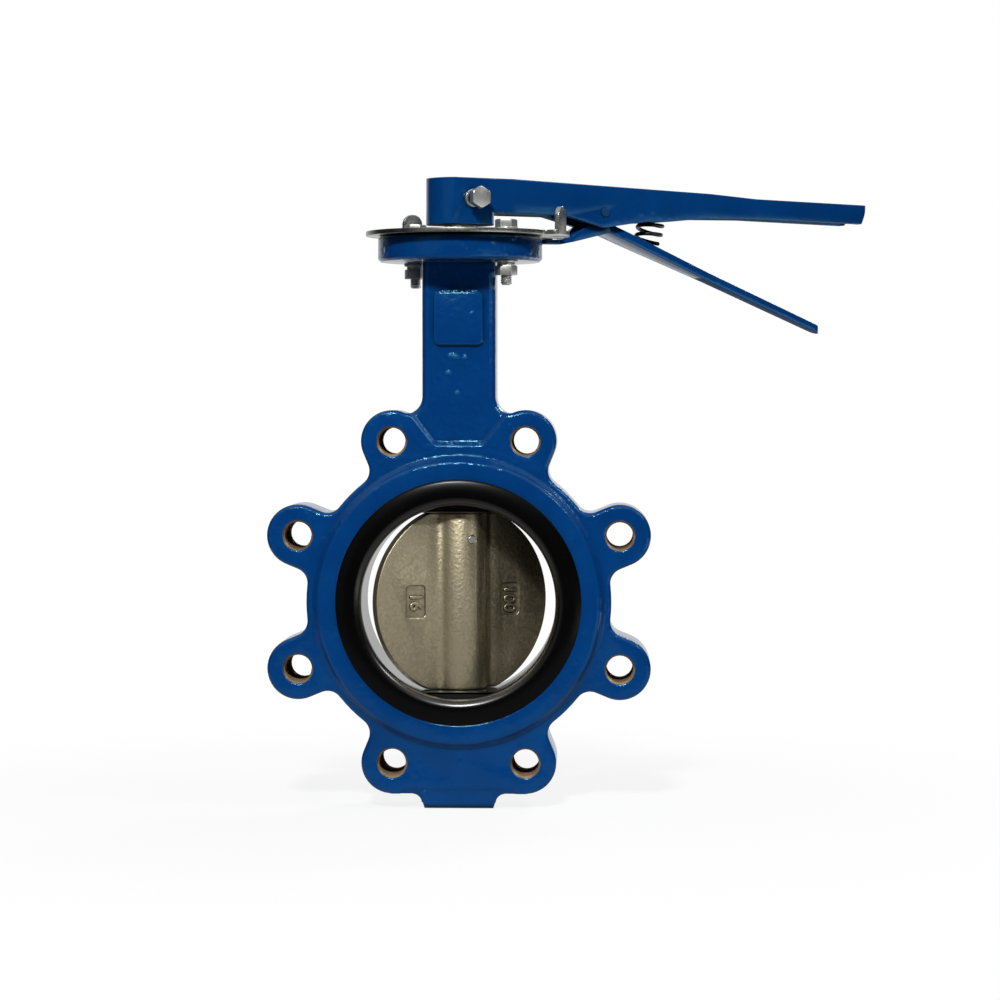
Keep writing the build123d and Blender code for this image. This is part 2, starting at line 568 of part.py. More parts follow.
def handle_set_bolt():
    head = Rot(0, 0, 30) * hexagon_z(BOLT_HEX, SET_BOLT_HEAD_Y, SET_BOLT_HEAD_Y + BOLT_HEAD)
    bolt = head + cylinder_z(BOLT_R, SQUARE / 2, SET_BOLT_HEAD_Y)
    return turned(Pos(0, 0, SET_BOLT_Z) * Rot(90, 0, 0) * bolt)


def set_bolt_washer():
    return turned(Pos(0, 0, SET_BOLT_Z) * Rot(90, 0, 0) * spring_washer(HEAD_HALF_WIDTH))


def trigger_pin():
    pin = cylinder_y(PIVOT_PIN_R, -ARM_HALF_WIDTH - PIVOT_PIN_PROUD, ARM_HALF_WIDTH + PIVOT_PIN_PROUD)
    pin = chamfer(pin.edges().filter_by(GeomType.CIRCLE), PIVOT_PIN_PROUD / 2)
    return turned(Pos(PIVOT_X, 0, PIVOT_Z) * pin)


# ---- Trigger ----
def bar_top(x):
    return BAR_TOP_Z - BAR_SLOPE * (x - BAR_X)


def trigger():
    ear_front = PIVOT_X - TRIGGER_EAR_R
    ear_back = PIVOT_X + TRIGGER_EAR_R
    rise_x = SECTOR_R + TONGUE_NECK
    ear_z = bar_top(ear_back)
    tongue_foot_z = TONGUE_TOP_Z - TONGUE_THICKNESS
    bar = side_profile([(TONGUE_TIP_X, tongue_foot_z), (rise_x, tongue_foot_z), (BEND_X, BEND_FOOT_Z),
                        (TAIL_X, bar_top(TAIL_X) - TAIL_THICKNESS), (TAIL_X, bar_top(TAIL_X)),
                        (ear_back, ear_z), (ear_front, ear_z), (rise_x + TONGUE_NECK, TONGUE_TOP_Z),
                        (TONGUE_TIP_X, TONGUE_TOP_Z)])
    shoulder_x = rise_x + TRIGGER_HALF_WIDTH - TONGUE_HALF_WIDTH
    tip_x = TONGUE_TIP_X + TONGUE_HALF_WIDTH
    end_x = TAIL_X - TAIL_HALF_WIDTH
    half_plan = [(tip_x, TONGUE_HALF_WIDTH), (rise_x, TONGUE_HALF_WIDTH), (shoulder_x, TRIGGER_HALF_WIDTH),
                 (PIVOT_X + TRIGGER_EAR_REACH, TRIGGER_HALF_WIDTH), (WAIST_X, WAIST_HALF_WIDTH),
                 (end_x, TAIL_HALF_WIDTH)]
    plan = make_face(Polyline(*half_plan, *[(x, -y) for x, y in reversed(half_plan)], close=True))
    plan += Pos(tip_x, 0) * Circle(TONGUE_HALF_WIDTH)
    plan += Pos(end_x, 0) * Circle(TAIL_HALF_WIDTH)
    body = upright_slab(bar, TRIGGER_HALF_WIDTH) & extrude(plan, LEVER_TOP_Z)
    ear = Pos(PIVOT_X, PIVOT_Z) * Circle(TRIGGER_EAR_R)
    ear_foot_z = BEND_FOOT_Z + EAR_ROOT
    ear += Pos(PIVOT_X, (PIVOT_Z + ear_foot_z) / 2) * Rectangle(2 * TRIGGER_EAR_R, PIVOT_Z - ear_foot_z)
    ears = upright_slab(ear, TRIGGER_HALF_WIDTH) - upright_slab(ear, TRIGGER_HALF_WIDTH - TRIGGER_EAR)
    body += ears
    body -= Pos(PIVOT_X, 0, PIVOT_Z) * cylinder_y(PIVOT_PIN_R + SHAFT_GAP, -HEAD_R, HEAD_R)
    return turned(body)


def trigger_spring():
    roof_fall = (LEVER_TOP_Z - GRIP_TOP_Z) * (SPRING_X - HEAD_LENGTH) / (GRIP_X - HEAD_LENGTH)
    roof_z = LEVER_TOP_Z - roof_fall - LEVER_ROOF
    seat_z = bar_top(SPRING_X)
    height = (roof_z - seat_z) * cos(radians(SPRING_LEAN)) - 2 * SPRING_END_GAP
    steps = SPRING_TURNS * SPRING_SIDES
    coil = Polyline(*[(*polar(SPRING_R, 360 * step / SPRING_SIDES), height * step / steps)
                      for step in range(steps + 1)])
    start = Plane(origin=coil @ 0, z_dir=coil % 0)
    section = start * RegularPolygon(SPRING_WIRE_R, SPRING_WIRE_SIDES)
    wire = sweep(section, path=coil, transition=Transition.RIGHT)
    # The spring stands square to the line midway between its two seats.
    wire = Rot(0, SPRING_LEAN, 0) * Pos(0, 0, SPRING_END_GAP) * wire
    return turned(Pos(SPRING_X, 0, seat_z) * wire)


# ---- Write every piece ----
PIECES = {
    "body_casting": body_casting,
    "seat_liner": seat_liner,
    "disc": disc,
    "disc_taper_pin": disc_taper_pin,
    "stem": stem,
    "stem_seal_rings": stem_seal_rings,
    "stem_thrust_washer": stem_thrust_washer,
    "stem_retaining_ring": stem_retaining_ring,
    "neck_bush_upper": lambda: stem_bush(TOP_BUSH_FOOT_Z, POCKET_Z),
    "neck_bush_lower": lambda: stem_bush(LOW_BUSH_FOOT_Z, LOW_BUSH_TOP_Z),
    "bottom_bush": lambda: stem_bush(BOTTOM_BUSH_FOOT_Z, -LOW_BUSH_FOOT_Z),
    "notch_plate": notch_plate,
    "plate_bolts": plate_bolts,
    "plate_washers": plate_washers,
    "plate_spring_washers": lambda: at_plate_bolts(spring_washer(NUT_TOP_Z)),
    "plate_nuts": plate_nuts,
    "lever_handle": lever_handle,
    "handle_set_bolt": handle_set_bolt,
    "set_bolt_washer": set_bolt_washer,
    "trigger": trigger,
    "trigger_pin": trigger_pin,
    "trigger_spring": trigger_spring,
}

os.makedirs("parts", exist_ok=True)
for name, make in PIECES.items():
    export_step(make(), f"parts/{name}.step")
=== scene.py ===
from contextlib import contextmanager
from math import cos, hypot, pi, radians, sin
from random import Random

import bmesh
import bpy
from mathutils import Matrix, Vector


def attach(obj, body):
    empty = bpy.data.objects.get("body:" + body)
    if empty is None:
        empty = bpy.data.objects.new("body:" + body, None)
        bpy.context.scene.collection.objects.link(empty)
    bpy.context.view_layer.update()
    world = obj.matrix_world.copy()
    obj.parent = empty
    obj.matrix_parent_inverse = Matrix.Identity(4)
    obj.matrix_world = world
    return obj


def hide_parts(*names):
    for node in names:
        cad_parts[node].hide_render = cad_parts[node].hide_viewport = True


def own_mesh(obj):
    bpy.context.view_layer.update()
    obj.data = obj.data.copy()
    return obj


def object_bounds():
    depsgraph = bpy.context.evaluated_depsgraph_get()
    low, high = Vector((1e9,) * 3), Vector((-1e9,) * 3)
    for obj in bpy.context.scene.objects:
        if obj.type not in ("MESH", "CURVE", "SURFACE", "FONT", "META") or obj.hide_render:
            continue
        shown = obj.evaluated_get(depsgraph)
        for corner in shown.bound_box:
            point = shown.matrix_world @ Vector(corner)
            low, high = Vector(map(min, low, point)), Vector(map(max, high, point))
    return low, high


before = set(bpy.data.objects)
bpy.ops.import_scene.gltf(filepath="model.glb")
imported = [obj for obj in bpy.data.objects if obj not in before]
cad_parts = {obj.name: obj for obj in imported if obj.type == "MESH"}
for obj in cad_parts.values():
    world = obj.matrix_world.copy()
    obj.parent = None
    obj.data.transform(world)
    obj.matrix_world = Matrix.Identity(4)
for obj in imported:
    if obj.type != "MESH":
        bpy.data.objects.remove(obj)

cad_low, cad_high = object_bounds()


# ---- Camera, floor and light ----
# The valve stands on its bottom boss on a pale studio floor. It is seen almost square to its front face,
# from a little to the right of the stem and a little above the bore.
view = bpy.data.cameras.new("studio_view")
view.sensor_width = 36.0
view.lens = 109.6
camera = bpy.data.objects.new("studio_camera", view)
bpy.context.scene.collection.objects.link(camera)
camera.location = (0.0734, -1.586, 0.1044)
line_of_sight = Vector((-0.0332, 1.0, -0.0329))
camera.rotation_euler = line_of_sight.to_track_quat("-Z", "Y").to_euler()
bpy.context.scene.camera = camera
bpy.context.scene.view_settings.view_transform = "Standard"


def add_node(tree, kind, inputs=None, **settings):
    """Adds a shader node with its settings, and sets or links its inputs by name or number."""
    made = tree.nodes.new(kind)
    for setting, value in settings.items():
        setattr(made, setting, value)
    for socket, value in (inputs or {}).items():
        if isinstance(value, bpy.types.NodeSocket):
            tree.links.new(value, made.inputs[socket])
        else:
            made.inputs[socket].default_value = value
    return made


def empty_tree(owner):
    """Gives a material or a world an empty node tree."""
    owner.use_nodes = True
    owner.node_tree.nodes.clear()
    return owner.node_tree


def ramp(tree, value, from_range, to_range=(0.0, 1.0), smooth=False):
    """Carries a value from one range over to another, at an even pace or easing in and out."""
    inputs = {"Value": value, "From Min": from_range[0], "From Max": from_range[1],
              "To Min": to_range[0], "To Max": to_range[1]}
    pace = "SMOOTHSTEP" if smooth else "LINEAR"
    return add_node(tree, "ShaderNodeMapRange", inputs, interpolation_type=pace).outputs[0]


def combine(tree, operation, first, second):
    """Multiplies two values, takes the larger one, or the like."""
    return add_node(tree, "ShaderNodeMath", {0: first, 1: second}, operation=operation).outputs[0]


def between(tree, share, first, second):
    """Goes from the first value to the second as the share goes from 0 to 1."""
    inputs = {"Factor": share, 2: first, 3: second}
    return add_node(tree, "ShaderNodeMix", inputs, data_type="FLOAT").outputs[0]


# The floor is white to glossy rays and towards its rim, and matt where the valve's shadow lies.
floor_gap = 0.0003
bpy.ops.object.select_all(action="DESELECT")
bpy.ops.mesh.primitive_circle_add(vertices=96, radius=0.46, fill_type="NGON",
                                  location=(0, 0, cad_low.z - floor_gap))
floor = bpy.context.object
floor.name = "studio_floor"
floor_paint = bpy.data.materials.new("pale_floor")
tree = empty_tree(floor_paint)
path = add_node(tree, "ShaderNodeLightPath")
here = add_node(tree, "ShaderNodeTexCoord").outputs["Object"]
reach = add_node(tree, "ShaderNodeVectorMath", {0: here}, operation="LENGTH").outputs["Value"]
white_share = ramp(tree, reach, (0.10, 0.44), (0.86, 1.0), smooth=True)
seen = combine(tree, "MULTIPLY", path.outputs["Is Camera Ray"], white_share)
mirrored = combine(tree, "MAXIMUM", path.outputs["Is Glossy Ray"], path.outputs["Is Transmission Ray"])
white_parts = combine(tree, "MAXIMUM", seen, mirrored)
depth = add_node(tree, "ShaderNodeSeparateXYZ", {0: here}).outputs["Y"]
far_side = ramp(tree, depth, (-0.15, 0.40), (0.4, 1.0), smooth=True)
glow = between(tree, path.outputs["Is Glossy Ray"], 1.0, far_side)
matt = add_node(tree, "ShaderNodeBsdfDiffuse", {"Color": (0.82, 0.82, 0.82, 1)})
white = add_node(tree, "ShaderNodeEmission", {"Color": (1, 1, 1, 1), "Strength": glow})
mixed = add_node(tree, "ShaderNodeMixShader", {0: white_parts, 1: matt.outputs[0], 2: white.outputs[0]})
add_node(tree, "ShaderNodeOutputMaterial", {"Surface": mixed.outputs[0]})
floor.data.materials.append(floor_paint)

# The room is white behind the valve and overhead, with a low white panel on its right, and dark in front,
# where the viewer stands. Only glossy rays see the panels; other rays see a weak even light.
room = bpy.data.worlds.new("studio_room")
bpy.context.scene.world = room
tree = empty_tree(room)
path = add_node(tree, "ShaderNodeLightPath")
looking = add_node(tree, "ShaderNodeTexCoord").outputs["Generated"]
towards = add_node(tree, "ShaderNodeSeparateXYZ", {0: looking})
behind = ramp(tree, towards.outputs["Y"], (0.50, 0.97), (0.01, 0.95), smooth=True)
overhead = ramp(tree, towards.outputs["Z"], (0.3, 0.9), (0.0, 0.9), smooth=True)
panel_start = ramp(tree, towards.outputs["X"], (0.30, 0.50), smooth=True)
panel_end = ramp(tree, towards.outputs["X"], (0.90, 0.98), (2.1, 0.0))
panel_top = ramp(tree, towards.outputs["Z"], (-0.08, -0.16))
low_panel = combine(tree, "MULTIPLY", combine(tree, "MULTIPLY", panel_start, panel_top), panel_end)
panels = combine(tree, "MAXIMUM", combine(tree, "MAXIMUM", behind, overhead), low_panel)
ambient = ramp(tree, towards.outputs["Z"], (-0.5, 0.8), (0.01, 0.05))
seen = combine(tree, "MAXIMUM", path.outputs["Is Camera Ray"], path.outputs["Is Transmission Ray"])
shiny = between(tree, path.outputs["Is Glossy Ray"], ambient, panels)
level = between(tree, seen, shiny, 1.0)
sky = add_node(tree, "ShaderNodeBackground", {"Color": (1, 1, 1, 1), "Strength": level})
add_node(tree, "ShaderNodeOutputWorld", {"Surface": sky.outputs[0]})

# A key lamp high in front and a little to the left, a weaker one on the right, a low wide fill, and a lamp
# for the back. All point at the middle of the valve.
lamp_target = Vector((0, 0, 0.06))
for name, place, size, watts in (("key_lamp", (-0.18, -1.69, 1.295), 0.24, 44.0),
                                 ("edge_lamp", (1.25, -0.55, 1.25), 0.30, 7.0),
                                 ("fill_lamp", (-1.3, -1.5, 0.25), 1.2, 1.0),
                                 ("back_lamp", (0.9, 1.5, 1.1), 0.5, 16.0)):
    lamp = bpy.data.objects.new(name, bpy.data.lights.new(name, "AREA"))
    lamp.data.size = size
    lamp.data.energy = watts
    lamp.location = place
    lamp.rotation_euler = (lamp_target - lamp.location).to_track_quat("-Z", "Y").to_euler()
    bpy.context.scene.collection.objects.link(lamp)


# ---- Body casting ----
# One sand casting in ductile iron: barrel, eight lugs, neck, top flange and bottom boss. Its edges are
# rounded by the mould, its skin is slightly rough, and it is sprayed with a thick blue enamel.
@contextmanager
def edit_mode():
    """Works on the active piece in edit mode."""
    bpy.ops.object.mode_set(mode="EDIT")
    yield
    bpy.ops.object.mode_set(mode="OBJECT")


def alone(piece):
    """Selects this piece only, and makes it active."""
    bpy.ops.object.select_all(action="DESELECT")
    piece.select_set(True)
    bpy.context.view_layer.objects.active = piece


def weld():
    """Merges all vertices that lie on each other, in edit mode."""
    bpy.ops.mesh.select_all(action="SELECT")
    bpy.ops.mesh.remove_doubles(threshold=0.000002)


def pick(piece, kind, wanted):
    """Selects the piece's verts or edges that the test wants and nothing else, in edit mode."""
    bpy.ops.mesh.select_all(action="DESELECT")
    for element in getattr(bmesh.from_edit_mesh(piece.data), kind):
        if wanted(element):
            element.select_set(True)
    bmesh.update_edit_mesh(piece.data)


def merged_copy(node, name):
    """A copy of a CAD piece, with its loose triangles merged and its flat faces made whole."""
    piece = bpy.data.objects.new(name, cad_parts[node].data.copy())
    bpy.context.scene.collection.objects.link(piece)
    piece.data.materials.clear()
    alone(piece)
    with edit_mode():
        weld()
    if piece.data.has_custom_normals:
        bpy.ops.mesh.customdata_custom_splitnormals_clear()
    with edit_mode():
        bpy.ops.mesh.select_all(action="SELECT")
        bpy.ops.mesh.dissolve_limited(angle_limit=radians(1.0))
    return piece


def turn_to(piece, rotation, place=(0, 0, 0)):
    """Turns and moves the piece, and puts that into its mesh."""
    alone(piece)
    piece.rotation_euler = rotation
    piece.location = place
    bpy.ops.object.transform_apply(location=True, rotation=True, scale=True)


def finish_with(piece, kind, **settings):
    """Adds a modifier to the active piece and applies it."""
    modifier = piece.modifiers.new(kind.lower(), kind)
    for setting, value in settings.items():
        setattr(modifier, setting, value)
    bpy.ops.object.modifier_apply(modifier=modifier.name)


def edges_rounded(piece, width, segments):
    """Rounds the active piece's sharp edges and smooths its curves."""
    finish_with(piece, "BEVEL", width=width, segments=segments, limit_method="ANGLE", angle_limit=radians(28))
    bpy.ops.object.shade_smooth_by_angle(angle=radians(30))


def join_to(piece, others):
    """Joins the others to the piece."""
    alone(piece)
    for other in others:
        other.select_set(True)
    bpy.ops.object.join()


def noise(tree, place, scale, detail, roughness):
    """Fractal noise about the object, as a value from 0 to 1."""
    inputs = {"Vector": place, "Scale": scale, "Detail": detail, "Roughness": roughness}
    return add_node(tree, "ShaderNodeTexNoise", inputs).outputs["Fac"]


def tint_between(tree, share, first, second):
    """Goes from the first colour to the second as the share goes from 0 to 1."""
    inputs = {"Factor": share, 6: first, 7: second}
    return add_node(tree, "ShaderNodeMix", inputs, data_type="RGBA").outputs[2]


def darkened(tree, colour, light):
    """Scales a colour by the light that is left on it."""
    return add_node(tree, "ShaderNodeVectorMath", {0: colour, 3: light}, operation="SCALE").outputs[0]


def bumped(tree, height, distance, normal, strength=1.0):
    """Raises the surface by a height from 0 to 1, over a normal."""
    inputs = {"Strength": strength, "Distance": distance, "Height": height, "Normal": normal}
    return add_node(tree, "ShaderNodeBump", inputs).outputs[0]


def enamel(name, colour, deep_colour, waves, grain, rounding, dullest=0.20):
    """Thick glossy blue enamel: an uneven film over the metal's grain, thin and pale on the edges, with
    painted shade that darkens the corners. Waves and grain are the heights of the film's ripples and of the
    metal's skin."""
    paint = bpy.data.materials.new(name)
    tree = empty_tree(paint)
    place = add_node(tree, "ShaderNodeTexCoord").outputs["Object"]
    spread = ramp(tree, noise(tree, place, 30.0, 4.0, 0.6), (0.3, 0.7))
    ripples = noise(tree, place, 170.0, 2.0, 0.5)
    skin = noise(tree, place, 560.0, 4.0, 0.65)
    blobs = add_node(tree, "ShaderNodeTexVoronoi", {"Vector": place, "Scale": 150.0}, feature="F1")
    pimples = ramp(tree, blobs.outputs["Distance"], (0.40, 0.05), smooth=True)
    pimples = combine(tree, "MULTIPLY", pimples, spread)
    film = tint_between(tree, spread, deep_colour, colour)

    # The film wears thin where the rounded edge turns away from the flat face.
    softened = add_node(tree, "ShaderNodeBevel", {"Radius": rounding}, samples=8).outputs[0]
    flat = add_node(tree, "ShaderNodeNewGeometry").outputs["Normal"]
    turn = add_node(tree, "ShaderNodeVectorMath", {0: softened, 1: flat}, operation="DOT_PRODUCT")
    edge = ramp(tree, turn.outputs["Value"], (0.97, 0.80), (0.0, 0.9))
    thin = combine(tree, "MULTIPLY", edge, skin)
    worn = tint_between(tree, thin, film, (0.008, 0.110, 0.250, 1))

    # Ambient occlusion darkens the colour in corners, creases and round raised pads: painted shade.
    corners = add_node(tree, "ShaderNodeAmbientOcclusion", {"Distance": 0.004, "Normal": flat}, samples=8)
    shaded_coat = darkened(tree, worn, ramp(tree, corners.outputs["AO"], (0.45, 0.93), (0.10, 1.0)))
    rolling = bumped(tree, ripples, waves, softened)
    spotted = bumped(tree, pimples, waves, rolling)
    shade = add_node(tree, "ShaderNodeBsdfPrincipled", {
        "Base Color": shaded_coat, "Roughness": ramp(tree, skin, (0.35, 0.65), (dullest - 0.08, dullest)),
        "Specular IOR Level": 0.4, "Specular Tint": (0.32, 0.84, 1.0, 1),
        "Normal": bumped(tree, skin, grain, spotted)})
    add_node(tree, "ShaderNodeOutputMaterial", {"Surface": shade.outputs[0]})
    return paint


casting = merged_copy("body_casting", "valve_casting")
lug_circle = 0.090
lug_angles = [radians(22.5 + 45 * lug) for lug in range(8)]
lug_axes = [(lug_circle * cos(angle), lug_circle * sin(angle)) for angle in lug_angles]
drilled_radius = 0.0069
tapped_radius = 0.00785
widening = tapped_radius / drilled_radius
with edit_mode():
    for x, z in lug_axes:
        pick(casting, "verts", lambda v: hypot(v.co.x - x, v.co.z - z) < drilled_radius + 0.0002)
        bpy.ops.transform.resize(value=(widening, 1, widening), center_override=(x, 0, z))

    # The pad on the front of the neck stands a little prouder.
    pad_rise = 0.0006
    pad_half_width = 0.0127
    pad_foot = 0.1325
    pad_head = 0.1602
    pick(casting, "verts",
         lambda v: v.co.y < -0.0186 and abs(v.co.x) < pad_half_width and pad_foot < v.co.z < pad_head)
    bpy.ops.transform.translate(value=(0, -pad_rise, 0))

    # The underside between the two lowest lugs is level.
    underside = -0.09915
    underside_half_width = 0.0346
    pick(casting, "verts", lambda v: abs(v.co.x) < underside_half_width and -0.0998 < v.co.z < -0.0972)
    bpy.ops.transform.resize(value=(1, 1, 0), center_override=(0, 0, underside))
edges_rounded(casting, 0.0005, 3)
for face in casting.data.polygons:
    face.material_index = 0
casting_enamel = enamel("cast_blue_enamel", (0.0012, 0.042, 0.178, 1), (0.0008, 0.031, 0.140, 1),
                        waves=0.00036, grain=0.00010, rounding=0.0014)
casting.data.materials.append(casting_enamel)

# Pips of the mould under the neck's pad, and beads of sand burn along the foot of the pocket below it.
# The beads' enamel is a paler blue than the casting's: a painted highlight on them.
glint_bead_enamel = enamel("bead_enamel_painted_highlight", (0.0012, 0.060, 0.230, 1), (0.0008, 0.042, 0.170, 1),
                     waves=0.00010, grain=0.00005, rounding=0.0004, dullest=0.46)
draw = Random(11)
neck_face = -0.0175
pocket_foot = -0.0186
beads = [(-0.0020, neck_face, 0.1266, 0.0019), (-0.0056, neck_face, 0.1183, 0.0015),
         (-0.0009, neck_face, 0.1080, 0.0013), (0.0030, neck_face, 0.1262, 0.0012),
         (-0.0045, neck_face, 0.1272, 0.0011)]
for step in range(13):
    beads.append((-0.0125 + 0.0019 * step + draw.uniform(-0.0006, 0.0006), pocket_foot,
                  0.0812 + draw.uniform(-0.0004, 0.0006), draw.uniform(0.0006, 0.0011)))
cast_details = []
for x, y, z, size in beads:
    bpy.ops.object.select_all(action="DESELECT")
    bpy.ops.mesh.primitive_ico_sphere_add(subdivisions=3, radius=size, location=(0, 0, 0))
    bead = bpy.context.object
    with edit_mode():
        bpy.ops.mesh.select_all(action="SELECT")
        bpy.ops.transform.resize(value=(1.15, 0.32, 0.8))
    turn_to(bead, (0, draw.uniform(-0.7, 0.7), 0), (x, y, z))
    bpy.ops.object.shade_smooth()
    bead.data.materials.append(glint_bead_enamel)
    cast_details.append(bead)

# Hollow fillets where the blind boss leaves the level underside, on both of its sides. Each is a bar, sized
# in millimetres, whose outer lower edge is hollowed out.
millimetre = 0.001
fillet_size = (6.5, 37.4, 5.4)
fillet_hollow = 0.0044
for side in (-1, 1):
    bpy.ops.object.select_all(action="DESELECT")
    bpy.ops.mesh.primitive_cube_add(size=millimetre, location=(0, 0, 0))
    fillet = bpy.context.object
    with edit_mode():
        bpy.ops.mesh.select_all(action="SELECT")
        bpy.ops.transform.resize(value=fillet_size)
        bpy.ops.transform.translate(value=(side * 0.0203, 0, -0.1010))
        pick(fillet, "edges",
             lambda e: all(side * v.co.x > 0.0215 and v.co.z < -0.1020 for v in e.verts))
        bpy.ops.mesh.bevel(offset=fillet_hollow, segments=8, profile=0.1)
    bpy.ops.object.shade_smooth_by_angle(angle=radians(30))
    fillet.data.materials.append(casting_enamel)
    cast_details.append(fillet)
join_to(casting, cast_details)
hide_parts("body_casting")
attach(casting, "valve_body")


# ---- Tapped lug holes ----
# Each lug is drilled and tapped M16 right through for the bolts of both pipe flanges. That is done after
# painting, so the thread is bare oily iron.
def thread_ridge(name, root, crest, pitch, turns, low, steps):
    """The ridge of a screw thread about the Z axis, from a height upward: a triangle drawn round in a helix.
    It stands outward if the crest is wider than the root, and inward if it is narrower."""
    half_base = 0.46 * pitch
    bpy.ops.object.select_all(action="DESELECT")
    bpy.ops.mesh.primitive_circle_add(vertices=3, radius=pitch / 2, fill_type="NOTHING", location=(0, 0, 0))
    ridge = bpy.context.object
    ridge.name = name
    with edit_mode():
        mesh = bmesh.from_edit_mesh(ridge.data)
        triangle = ((root, half_base), (root, -half_base), (crest, 0.0))
        for corner, (radius, height) in zip(list(mesh.verts), triangle):
            pick(ridge, "verts", lambda v: v == corner)
            shift = Vector((radius, 0, low + height)) - corner.co
            bpy.ops.transform.translate(value=shift)
    finish_with(ridge, "SCREW", axis="Z", angle=2 * pi, screw_offset=pitch, iterations=turns, steps=steps,
                render_steps=steps)
    with edit_mode():
        weld()
        bpy.ops.mesh.fill_holes(sides=3)
        bpy.ops.mesh.normals_make_consistent(inside=False)
    bpy.ops.object.shade_smooth_by_angle(angle=radians(30))
    return ridge


def own_copy(piece, name):
    """A copy of the piece with its own mesh."""
    twin = piece.copy()
    twin.data = piece.data.copy()
    twin.name = name
    bpy.context.scene.collection.objects.link(twin)
    return twin


def plain_surface(name, colour, dark_colour, metallic, roughness, grain, depth):
    """A finish of two close colours in fine grains, with bumps of the same grain and slightly rounded edges.
    Grain is how many there are in a metre, and depth is how deep they are."""
    finish = bpy.data.materials.new(name)
    tree = empty_tree(finish)
    place = add_node(tree, "ShaderNodeTexCoord").outputs["Object"]
    spread = ramp(tree, noise(tree, place, grain / 14, 5.0, 0.65), (0.3, 0.7))
    grains = noise(tree, place, grain, 4.0, 0.6)
    softened = add_node(tree, "ShaderNodeBevel", {"Radius": 0.0003}, samples=6).outputs[0]
    shade = add_node(tree, "ShaderNodeBsdfPrincipled", {
        "Base Color": tint_between(tree, spread, dark_colour, colour), "Metallic": metallic,
        "Roughness": ramp(tree, grains, (0.3, 0.7), (roughness - 0.06, roughness + 0.08)),
        "Specular IOR Level": 0.5, "Normal": bumped(tree, grains, depth, softened, strength=0.6)})
    add_node(tree, "ShaderNodeOutputMaterial", {"Surface": shade.outputs[0]})
    return finish


tapped_iron = plain_surface("tapped_iron", (0.36, 0.23, 0.13, 1), (0.11, 0.075, 0.045, 1),
                            metallic=0.35, roughness=0.40, grain=700.0, depth=0.00004)
casting.data.materials.append(tapped_iron)
for face in casting.data.polygons:
    for x, z in lug_axes:
        off_axis = hypot(face.center.x - x, face.center.z - z)
        if abs(face.normal.y) < 0.6 and off_axis < tapped_radius + 0.00005:
            face.material_index = casting.data.materials.find("tapped_iron")
first_thread = thread_ridge("lug_thread", root=0.0080, crest=drilled_radius, pitch=0.002, turns=18,
                            low=-0.018, steps=24)
first_thread.data.materials.append(tapped_iron)
for x, z in lug_axes:
    thread = own_copy(first_thread, "lug_thread")
    turn_to(thread, (pi / 2, 0, 0), (x, 0, z))
    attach(thread, "valve_body")
bpy.data.objects.remove(first_thread)


# ---- Seat liner ----
# A moulded black rubber tube with a thick lip at each face and a flat pad round the stem at top and
# bottom. It is pressed into the casting and the pipe flanges seal on its lips.
def ring_turned(name, profile, steps):
    """A closed ring about the Z axis: a circle of edges is drawn out from one (radius, height) of the profile
    to the next, and the last circle is bridged to the first."""
    radius, height = profile[0]
    bpy.ops.object.select_all(action="DESELECT")
    bpy.ops.mesh.primitive_circle_add(vertices=steps, radius=radius, location=(0, 0, 0))
    piece = bpy.context.object
    piece.name = name
    with edit_mode():
        bpy.ops.mesh.select_all(action="SELECT")
        bpy.ops.transform.translate(value=(0, 0, height))
        for next_radius, next_height in profile[1:]:
            bpy.ops.mesh.extrude_region_move(TRANSFORM_OT_translate={"value": (0, 0, next_height - height)})
            scale = next_radius / radius
            bpy.ops.transform.resize(value=(scale, scale, 1), center_override=(0, 0, next_height))
            radius, height = next_radius, next_height
        pick(piece, "edges", lambda e: e.is_boundary)
        bpy.ops.mesh.bridge_edge_loops()
        bpy.ops.mesh.select_all(action="SELECT")
        bpy.ops.mesh.normals_make_consistent(inside=False)
    return piece


def moulded_rubber(name):
    """Black rubber, shiny inside the passage, where the mould's core is polished, and duller on the lips."""
    finish = plain_surface(name, (0.0014, 0.0014, 0.0015, 1), (0.0009, 0.0009, 0.0010, 1),
                           metallic=0.0, roughness=0.3, grain=700.0, depth=0.00001)
    tree = finish.node_tree
    place = tree.nodes["Texture Coordinate"].outputs["Object"]
    across = add_node(tree, "ShaderNodeVectorMath", {0: place, 1: (1, 0, 1)}, operation="MULTIPLY")
    off_axis = add_node(tree, "ShaderNodeVectorMath", {0: across.outputs[0]}, operation="LENGTH")
    shade = tree.nodes["Principled BSDF"]
    dull = ramp(tree, off_axis.outputs["Value"], (0.0535, 0.0560), (0.25, 0.24))
    tree.links.new(dull, shade.inputs["Roughness"])
    sheen = ramp(tree, off_axis.outputs["Value"], (0.0515, 0.0545), (0.8, 0.12))
    tree.links.new(sheen, shade.inputs["Specular IOR Level"])
    tree.nodes.remove(tree.nodes["Bevel"])
    return finish


black_rubber = moulded_rubber("black_rubber")
passage_radius = 0.050
lip_height = 0.026
lip_round = 0.0047
lip = []
for angle in range(0, 91, 10):
    inward = 1 - cos(radians(angle))
    below = 1 - sin(radians(angle))
    lip.append((passage_radius + lip_round * inward, lip_height - lip_round * below))
half = [(passage_radius, 0.0195), *lip,
        (0.0620, lip_height), (0.0632, 0.0253), (0.0632, 0.020), (0.058, 0.020)]
other_half = [(radius, -height) for radius, height in reversed(half)]
liner = ring_turned("seat_liner_rubber", half + other_half, steps=192)
turn_to(liner, (pi / 2, 0, 0))
bpy.ops.object.shade_smooth_by_angle(angle=radians(35))

